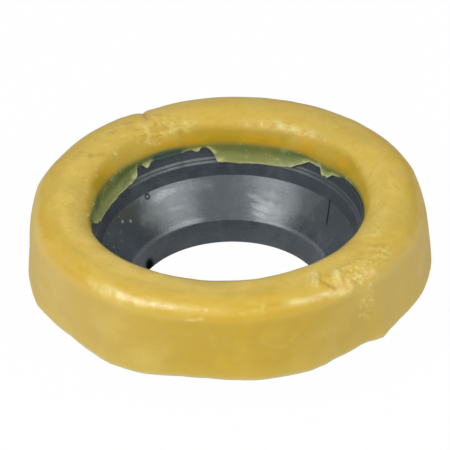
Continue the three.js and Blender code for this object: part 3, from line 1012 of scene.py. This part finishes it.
    def _tones(self, skin: WaxSkin) -> dict[str, np.ndarray]:
        """How much of each kind of wax, and of each painted light and shade, shows at each point."""
        heights, reach = skin.sections[..., 1], skin.reach[None, :] + 0.0 * skin.sections[..., 0]
        start = self._column(skin, self.film_start)
        edge = self._column(skin, self.film_edge)
        sheer = self._column(skin, self.sheer_stretch)
        drop = self._drop(edge)
        rim = drop * (1.0 - sheer) * ease(heights - edge, 1.1, 0.2)
        beads = self._bead_share(skin.azimuths[:, None], heights)
        hollow_shade = self._column(skin, self.hollow_start)
        inner = skin.on(Side.LIP, Side.FILM) * ease(reach, 44.0, 46.0)
        # Painted light: the crown inside the lip is made lighter, as if lit from above.
        painted_crown_light = self._column(skin, self.bloom_share) * ease(reach, 31.0, 38.0)
        film = inner * ease(heights, start + 1.9, start - 0.9)
        shaded = ease((heights - edge) / (start - edge + 0.5), 0.25, 0.8)
        shaded = np.maximum(shaded, ease(heights - edge, 2.6, 5.4))
        return {
            "film": film,
            # Painted shade on the film's upper part under the lip, and over all of a film that ends high.
            "film_top_shade": film * np.maximum(shaded, ease(edge, 32.4, 33.0)),
            "rim": skin.on(Side.FILM) * np.maximum(rim, beads),
            "sheer": inner * sheer * ease(heights, start + 0.8, start - 1.4),
            # Painted shade and darker reflection: a rich gold band along the shoulder.
            "band": np.exp(-(((reach - self.shoulder_reach) / 5.0) ** 2)),
            # Painted shade: deeper still on the front-left shoulder.
            "amber": self._column(skin, self.amber_share) * np.exp(-(((reach - 25.0) / 3.2) ** 2)),
            # Painted shade inside the lip, where it slopes down into the bore.
            "hollow_shade": skin.on(Side.LIP, Side.FILM) * ease(reach - hollow_shade, 0.0, 3.8),
            # Wall colour from partway up the shoulder down: partly the wax's own tone, partly painted shade
            # on the upright side.
            "wall": ease(reach, 25.5, 20.0),
            "painted_crown_light": painted_crown_light * ease(reach, 50.0, 46.0),
            # Pale grey tone: partly dusty wax, partly a painted sheen on the sides.
            "dust_and_sheen": self._column(skin, self.dust_share) * ease(reach, 31.0, 22.0),
            "polish": self._column(skin, self.polish_share) * np.ones_like(reach),
            "drag": ease(Grain.waves(self._dragged(skin), 3.6, 61, 3), -0.3, 0.7),
        }

    def build(self) -> bpy.types.Object:
        """Turns the section into a ring, then moves its points to every azimuth's own section."""
        skin = self._skin()
        piece = spin_outline("wax_ring_cast", [tuple(p) for p in skin.sections[0]], self.steps)
        tones = {**self._press(skin), **self._tones(skin)}
        mesh = piece.data
        placed = np.empty(len(mesh.vertices) * 3)
        mesh.vertices.foreach_get("co", placed)
        placed = placed.reshape(-1, 3)
        station = np.empty(len(mesh.vertices), dtype=np.int32)
        mesh.attributes["station"].data.foreach_get("value", station)
        turn = np.degrees(np.arctan2(placed[:, 1], placed[:, 0])) * self.steps / 360.0
        step = np.round(turn).astype(int) % self.steps
        mesh.vertices.foreach_set("co", (skin.points()[step, station] * MM).ravel())
        for name, values in tones.items():
            attribute = mesh.attributes.new(name, "FLOAT", "POINT")
            attribute.data.foreach_set("value", np.clip(values, 0.0, 1.0)[step, station].astype(np.float32))
        mesh.update()
        bpy.ops.object.shade_smooth_by_angle(angle=math.radians(self.smooth_angle))
        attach(piece, "root")
        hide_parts("wax_ring")
        return piece


@dataclass(frozen=True)
class WaxFinish:
    """Soft amber wax: satin, a little greasy, with light going a few millimetres in."""

    crown: Colour = from_srgb(219, 188, 86)
    # Lighter wax colour for painted light on the crown inside the lip.
    painted_crown_light: Colour = from_srgb(236, 206, 102)
    # Pale grey: partly dusty wax, partly a painted sheen of the bright room on the sides seen at a slant.
    dust_and_sheen: Colour = from_srgb(209, 186, 122)
    # Saturated gold: painted shade on the front-left shoulder, and random streaks.
    honey: Colour = from_srgb(206, 160, 20)
    # Rich gold: painted shade and darker reflection along the shoulder, and random darker patches.
    band: Colour = from_srgb(204, 167, 22)
    # Darker wall colour: partly the wax's own tone, partly painted shade on the upright side.
    wall: Colour = from_srgb(189, 157, 46)
    # Darker gold for painted shade inside the lip.
    hollow_shade: Colour = from_srgb(182, 150, 18)
    foot: Colour = from_srgb(208, 182, 84)
    # Paler bottom edge: painted light that shines through the thin wax there.
    skirt: Colour = from_srgb(203, 194, 146)
    rubbed: Colour = from_srgb(224, 198, 98)
    # Pale wax of bits, ridges and rubs, which in places paints highlights and glints of the lamps.
    pale: Colour = from_srgb(242, 233, 160)
    # Dark brown gold: random darker grain, and painted shade in grooves and creases.
    deep_and_groove_shade: Colour = from_srgb(176, 130, 30)
    film_light: Colour = from_srgb(141, 150, 90)
    # Dark green: painted shade on the film's upper part, and random mottling.
    film_dark: Colour = from_srgb(99, 112, 57)
    # Pale film rim and beads, also used for painted glints on the film.
    film_rim: Colour = from_srgb(196, 198, 146)
    sheer: Colour = from_srgb(66, 84, 76)

    def make(self) -> bpy.types.Material:
        """Builds the material."""
        shader = Shader("soft_amber_wax")
        place = shader.position()
        level = shader.axis(place, "Z")
        clouds = shader.noise(place, 0.022, 3.0, 0.6)
        mottle = shader.noise(place, 0.006, 4.0)
        grain = shader.noise(place, 0.0016, 4.0)
        flecks = shader.noise(shader.stretched(place, (1.0, 1.0, 2.4)), 0.0034, 5.0, 1.2)
        wall = shader.attribute("wall")
        rubbed = shader.attribute("rubbed")
        hollow_shade = shader.attribute("hollow_shade")
        # Pale tone: in places a painted highlight or glint.
        pale = shader.attribute("pale") * (mottle.eased(0.3, 0.6) * 0.5 + 0.5)

        drag = shader.attribute("drag")
        wax = shader.layered(
            self.crown,
            # Painted light on the crown inside the lip, at the front and sides.
            (self.painted_crown_light, shader.attribute("painted_crown_light") * 0.85),
            # Painted shade and darker reflection along the shoulder, broken by the drag streaks.
            (self.band, shader.attribute("band") * (drag * 0.45 + 0.45)),
            # Wall colour: partly the wax's own tone, partly painted shade on the upright side.
            (self.wall, wall * 0.9),
            (self.band, clouds.eased(0.46, 0.72) * 0.4),
            (self.foot, clouds.eased(0.5, 0.28) * 0.6),
            (self.rubbed, mottle.eased(0.5, 0.78) * 0.12),
            (self.deep_and_groove_shade, grain.eased(0.42, 0.26) * 0.1),
            (self.band, flecks.eased(0.5, 0.7) * 0.3),
            # Pale grey on the sides: partly dusty wax, partly a painted sheen.
            (self.dust_and_sheen, shader.attribute("dust_and_sheen") * 0.42),
            # Painted shade on the front-left shoulder.
            (self.honey, shader.attribute("amber")),
            # The wall turns lighter towards the bottom, and paler still at the bottom edge, where painted
            # light shines through the thin wax.
            (self.foot, level.eased(23.0, 16.8) * wall * 0.4),
            (self.skirt, level.eased(17.9, 16.4) * wall * 0.75),
            # Painted shade inside the lip, patchy; the next layer's random honey streaks are stronger
            # there.
            (self.hollow_shade, hollow_shade * (clouds.eased(0.3, 0.6) * 0.45 + 0.5)),
            (self.honey, drag * (hollow_shade * 0.5 + 0.18) * (1.0 - wall)),
            (self.rubbed, rubbed * flecks.eased(0.42, 0.66) * 0.66),
            (self.honey, rubbed * flecks.eased(0.48, 0.36) * 0.5),
        )
        film = shader.layered(
            self.film_light,
            # Painted shade on the film's upper part, under the lip.
            (self.film_dark, shader.attribute("film_top_shade")),
            (self.wall, clouds.eased(0.42, 0.6) * 0.14),
            (self.film_dark, drag * flecks.eased(0.4, 0.62) * 0.6),
            (self.film_rim, mottle.eased(0.56, 0.72) * 0.28),
            # Painted glints: tiny light dots over the film.
            (self.film_rim, grain.eased(0.6, 0.7) * mottle.eased(0.45, 0.6) * 0.5),
        )
        colour = shader.layered(
            wax,
            (film, shader.attribute("film")),
            (self.sheer, shader.attribute("sheer")),
            (self.film_rim, shader.attribute("rim") * mottle.eased(0.25, 0.5)),
            # Painted shade in grooves and creases.
            (self.deep_and_groove_shade, shader.attribute("deep_and_groove_shade")),
            # Pale tone, in places painted highlights and glints.
            (self.pale, pale),
        )

        polish = shader.attribute("polish")
        rough = 0.34 + clouds * 0.1 + (mottle - 0.5) * 0.14 + rubbed * (flecks - 0.5) * 0.2 + hollow_shade * 0.12
        rough = rough + (1.0 - polish) * 0.2
        gloss = polish * (1.0 - hollow_shade) * (1.0 - wall * 0.8)
        gloss = gloss * (mottle.eased(0.2, 0.55) * 0.35 + 0.3 + drag * 0.35)
        normal = shader.bump(grain, 0.0001, 0.4)
        normal = shader.bump(mottle, 0.0005, 0.25, normal)
        normal = shader.bump(flecks, 0.001, rubbed * 0.6 + 0.03, normal)
        return shader.surface({
            "Base Color": colour,
            "Roughness": rough,
            "Normal": normal,
            "IOR": 1.4,
            "Coat Weight": gloss,
            "Coat Roughness": 0.23,
            "Coat IOR": 1.5,
            "Subsurface Weight": 0.2,
            "Subsurface Radius": (1.0, 0.6, 0.15),
            "Subsurface Scale": 0.0025,
        })


@dataclass(frozen=True)
class HornFinish:
    """Dark grey moulded plastic with handling marks, a scratch and specks of wax.

    Each speck is (azimuth, height, size). Each pale streak on the funnel is given as (azimuth, height,
    half length, half height, share, tilt); they are painted highlights of the lamps, in places with
    smudges. The ring mark and the painted shadow low in the outlet are (azimuth, height).
    """

    horn: Horn
    body: Colour = from_srgb(60, 66, 75)
    worn: Colour = from_srgb(96, 101, 102)
    # Light grey for painted highlights along each ledge and the neck's round.
    edge: Colour = from_srgb(122, 126, 130)
    # Pale grey for painted highlights of the lamps on the funnel, with smudges.
    haze: Colour = from_srgb(186, 192, 188)
    # Near black for the scratch and the ring mark, and for a painted shadow low in the outlet.
    dark: Colour = from_srgb(12, 13, 15)
    speck: Colour = from_srgb(172, 174, 166)
    ring_mark: Point = (131.2, 20.9)
    # Where the painted shadow sits low in the outlet.
    stain: Point = (148.5, 1.6)
    scratch_azimuth: float = 32.2
    scratch_middle: float = 19.6
    scratch_lean: float = 0.61
    scratch_ends: Point = (14.8, 22.8)
    specks: tuple[tuple[float, float, float], ...] = (
        (152.2, 19.1, 0.85), (147.2, 17.5, 0.8), (152.5, 21, 0.35), (158, 17.5, 0.35), (166, 20.5, 0.4),
        (161, 15.5, 0.35), (170, 17, 0.4), (*ring_mark, 0.32),
    )
    # Painted highlights on the funnel: bright patches high up, a line along the neck's round, and streaks
    # on the right.
    hazes: tuple[tuple[float, float, float, float, float, float], ...] = (
        (122, 19.4, 6.5, 1.9, 0.9, 0), (117, 14.2, 4.5, 0.9, 0.45, 0), (115, 9.2, 9, 0.9, 0.75, 0),
        (126, 17, 8, 3, 0.16, 0), (102, 19.2, 5.5, 2.4, 0.26, 0), (137.5, 15, 4.5, 3.4, 0.26, 0),
        (76, 15.8, 3.6, 0.9, 0.7, 0.9), (70, 14.4, 4.6, 1, 0.8, 0.8), (71.5, 12.7, 4.6, 1.1, 1, 0.7),
        (71.5, 10.7, 3.6, 1.1, 0.85, 0.6), (66.5, 16.8, 4.2, 1.4, 0.4, 0.5), (54, 15.5, 5, 4.5, 0.26, 0),
    )

    def make(self) -> bpy.types.Material:
        """Builds the material."""
        shader = Shader("dark_grey_plastic")
        place = shader.position()
        across, away, level = (shader.axis(place, name) for name in "XYZ")
        rings = shader.noise(shader.stretched(place, (0.3, 0.3, 6.0)), 0.006, 4.0)
        smudge = shader.noise(place, 0.009, 4.0, 0.8)
        scuffs = shader.noise(shader.stretched(place, (1.0, 1.0, 3.0)), 0.0022, 5.0, 1.5)
        grain = shader.noise(place, 0.0009, 3.0)

        marks = None
        for azimuth, height, size in self.specks:
            gap = shader.distance(place, self.horn.on_wall(azimuth, height))
            spot = gap.eased(size * MM, 0.4 * size * MM)
            marks = spot if marks is None else marks.most(spot)
        # Painted highlights on the funnel, broken up by scuffs.
        haze_and_highlight_share = None
        for azimuth, height, length, width, share, tilt in self.hazes:
            run = self._beside(across, away, azimuth) / length
            rise = (level - height) / width - run * tilt + (smudge - 0.5) * 2.0
            streak = (run * run + rise * rise).eased(1.0, 0.1) * self._ahead(across, away, azimuth) * share
            haze_and_highlight_share = streak if haze_and_highlight_share is None else haze_and_highlight_share.most(streak)
        haze_and_highlight_share = haze_and_highlight_share * (scuffs.eased(0.38, 0.62) * 0.6 + 0.4)
        ring_gap = shader.distance(place, self.horn.on_wall(*self.ring_mark)) - 0.00085
        ring = (ring_gap * ring_gap).eased(0.00045**2, 0.0)
        # Painted shadow low in the outlet.
        stain = shader.distance(place, self.horn.on_wall(*self.stain)).eased(0.0036, 0.0012)
        # Painted highlights along each ledge, faded towards both sides.
        lower = self.horn.band_level + 0.05
        upper = lower + self.horn.ledge_height
        ledge_glints = self._near(level - lower, 0.5).most(self._near(level - upper, 0.5))
        ledge_glints = ledge_glints * (across.eased(38.0, 16.0) * 0.75 + 0.25) * smudge.eased(0.25, 0.5)
        ledge_glints = ledge_glints * (across.eased(-38.0, -24.0) * 0.85 + 0.15)
        lean = (level - self.scratch_middle) * self.scratch_lean
        scratch = self._near(self._beside(across, away, self.scratch_azimuth) - lean, 0.5)
        low, high = self.scratch_ends
        scratch = scratch * level.eased(low, low + 1.6) * level.eased(high, high - 0.8)
        scratch = scratch * across.eased(5.0, 15.0)
        polished = self._near(level - 19.7, 1.7).most(self._near(level - 9.4, 1.5))
        polished = polished * across.eased(2.0, -14.0) * smudge.eased(0.3, 0.5)
        dull = level.eased(12.0, 17.0) * across.eased(6.0, 18.0)
        # Painted highlight along the neck's round, on both sides but not in the middle.
        neck = self._near(level - self.horn.neck_level - 0.3, 0.9) * (across * across).eased(60.0, 420.0)
        # Dark marks: painted shadow, the scratch and the ring mark.
        dark_marks_and_shadow = stain.most(scratch * 0.85).most(ring * 0.75)

        colour = shader.layered(
            self.body,
            (self.worn, (smudge.eased(0.45, 0.75) * 0.4).clamped()),
            # Painted highlights on the funnel.
            (self.haze, haze_and_highlight_share * 0.6),
            # Painted highlights on each ledge and on the neck.
            (self.edge, ledge_glints.most(neck * 0.6) * 0.9),
            (self.dark, dark_marks_and_shadow),
            (self.speck, marks * 0.8),
        )
        rough = 0.28 + (rings - 0.5) * 0.1 + (smudge - 0.5) * 0.24 + (scuffs - 0.5) * 0.16 + haze_and_highlight_share * 0.04
        rough = (rough - polished * 0.06 + dull * 0.09 + dark_marks_and_shadow * 0.4).clamped()
        normal = shader.bump(grain, 0.00003, 0.4)
        normal = shader.bump(rings, 0.0002, 0.1, normal)
        normal = shader.bump(smudge, 0.0004, 0.25, normal)
        normal = shader.bump(scuffs, 0.0001, 0.28, normal)
        return shader.surface({
            "Base Color": colour,
            "Roughness": rough,
            "Metallic": dark_marks_and_shadow,
            "Normal": normal,
            "IOR": 1.85,
            "Specular Tint": (0.89, 0.97, 0.98, 1.0),
        })

    @staticmethod
    def _near(gap: Value, width: float) -> Value:
        """Turns a distance in millimetres into 1 on a line and 0 beyond its half width."""
        return (gap * gap).eased(width * width, 0.0)

    @staticmethod
    def _beside(across: Value, away: Value, azimuth: float) -> Value:
        """How far a place lies beside the upright plane at an azimuth, in millimetres."""
        turn = math.radians(azimuth)
        return away * math.cos(turn) - across * math.sin(turn)

    @staticmethod
    def _ahead(across: Value, away: Value, azimuth: float) -> Value:
        """Is 1 on the half of the horn that an azimuth points to, and 0 on the other."""
        turn = math.radians(azimuth)
        return (across * math.cos(turn) + away * math.sin(turn)).eased(0.0, 10.0)


@dataclass(frozen=True)
class Softbox:
    """A rectangular studio light, aimed at the seal from an azimuth and elevation in degrees."""

    name: str
    azimuth: float
    elevation: float
    distance: float
    width: float
    height: float
    power: float
    mirrored: bool = True

    def place(self) -> bpy.types.Object:
        """Adds the light to the scene."""
        turn, rise = math.radians(self.azimuth), math.radians(self.elevation)
        aim = Vector((0.0, 0.0, 0.03))
        away = Vector((math.cos(rise) * math.cos(turn), math.cos(rise) * math.sin(turn), math.sin(rise)))
        data = bpy.data.lights.new(self.name, "AREA")
        data.shape = "RECTANGLE"
        data.size, data.size_y = self.width, self.height
        data.energy = self.power
        lamp = bpy.data.objects.new(self.name, data)
        lamp.location = aim + away * self.distance
        lamp.rotation_euler = away.to_track_quat("Z", "Y").to_euler()
        lamp.visible_glossy = self.mirrored
        bpy.context.scene.collection.objects.link(lamp)
        return lamp


@dataclass
class Studio:
    """The white floor, the lights and the camera."""

    elevation: float = 34.09
    roll: float = 1.57
    distance: float = 0.8
    lens: float = 186.2
    sensor: float = 36.0
    target: tuple[float, float, float] = (-0.00102, 0.0, 0.02972)
    ambient: float = 0.34
    floor_glow: float = 0.985
    floor_size: float = 6.0
    floor_drop: float = 0.0001
    softboxes: tuple[Softbox, ...] = (
        Softbox("front_softbox", -92, 33, 0.95, 1.1, 0.3, 0.7),
        Softbox("front_fill", -92, 33, 0.95, 1.1, 0.3, 0.4, mirrored=False),
        Softbox("left_softbox", 220, 33, 0.9, 0.44, 0.34, 2.6),
        Softbox("upper_left_softbox", 217, 50, 0.9, 0.8, 0.24, 2.1),
        Softbox("right_softbox", -32, 33, 0.9, 0.66, 0.48, 2.95),
    )

    def camera(self) -> bpy.types.Object:
        """Adds the camera at the photograph's viewpoint."""
        rise = math.radians(self.elevation)
        right = Vector((1.0, 0.0, 0.0))
        up = Vector((0.0, math.sin(rise), math.cos(rise)))
        back = Vector((0.0, -math.cos(rise), math.sin(rise)))
        data = bpy.data.cameras.new("studio_camera")
        data.lens, data.sensor_width, data.sensor_fit = self.lens, self.sensor, "HORIZONTAL"
        data.clip_start, data.clip_end = 0.05, 20.0
        lens = bpy.data.objects.new("studio_camera", data)
        aimed = Matrix((right, up, back)).transposed().to_4x4()
        rolled = Matrix.Rotation(-math.radians(self.roll), 4, "Z")
        lens.matrix_world = Matrix.Translation(Vector(self.target) + back * self.distance) @ aimed @ rolled
        bpy.context.scene.collection.objects.link(lens)
        bpy.context.scene.camera = lens
        return lens

    def floor(self) -> bpy.types.Object:
        """Adds a wide white floor that keeps a faint shadow."""
        bpy.ops.object.select_all(action="DESELECT")
        bpy.ops.mesh.primitive_plane_add(size=self.floor_size, location=(0.0, 0.0, -self.floor_drop))
        plane = bpy.context.object
        plane.name = "white_floor"
        shader = Shader("white_card")
        seen = shader.node("ShaderNodeLightPath", output="Is Camera Ray")
        matt = shader.node("ShaderNodeBsdfDiffuse", None, {"Color": (0.82, 0.82, 0.82, 1.0)})
        glow = shader.node("ShaderNodeEmission", None, {"Color": (1.0, 1.0, 1.0, 1.0), "Strength": 1.0})
        mixed = shader.node("ShaderNodeMixShader", None, {0: seen * self.floor_glow, 1: matt, 2: glow})
        plane.data.materials.append(shader.finish(mixed))
        return plane

    def world(self) -> bpy.types.World:
        """Lights the whole room evenly, and shows plain white behind."""
        world = bpy.data.worlds.new("pale_room")
        world.use_nodes = True
        tree = world.node_tree
        tree.nodes["Background"].inputs["Color"].default_value = (1.0, 1.0, 1.0, 1.0)
        tree.nodes["Background"].inputs["Strength"].default_value = self.ambient
        bpy.context.scene.world = world
        return world

    def build(self) -> None:
        """Sets the whole studio up."""
        self.camera()
        self.floor()
        self.world()
        for softbox in self.softboxes:
            softbox.place()
        bpy.context.scene.view_settings.view_transform = "Standard"


def main() -> None:
    """Builds the seal and its studio."""
    logging.basicConfig(level=logging.INFO, format="%(message)s")
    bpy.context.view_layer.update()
    Studio().build()
    LOG.info("studio: camera, floor and lights")

    horn = Horn()
    moulding = horn.build()
    moulding.data.materials.append(HornFinish(horn).make())
    LOG.info("horn: %d points, %d faces", len(moulding.data.vertices), len(moulding.data.polygons))

    ring = WaxRing(horn)
    cast = ring.build()
    cast.data.materials.append(WaxFinish().make())
    LOG.info("wax ring: %d points, %d faces", len(cast.data.vertices), len(cast.data.polygons))


if __name__ == "__main__":
    main()
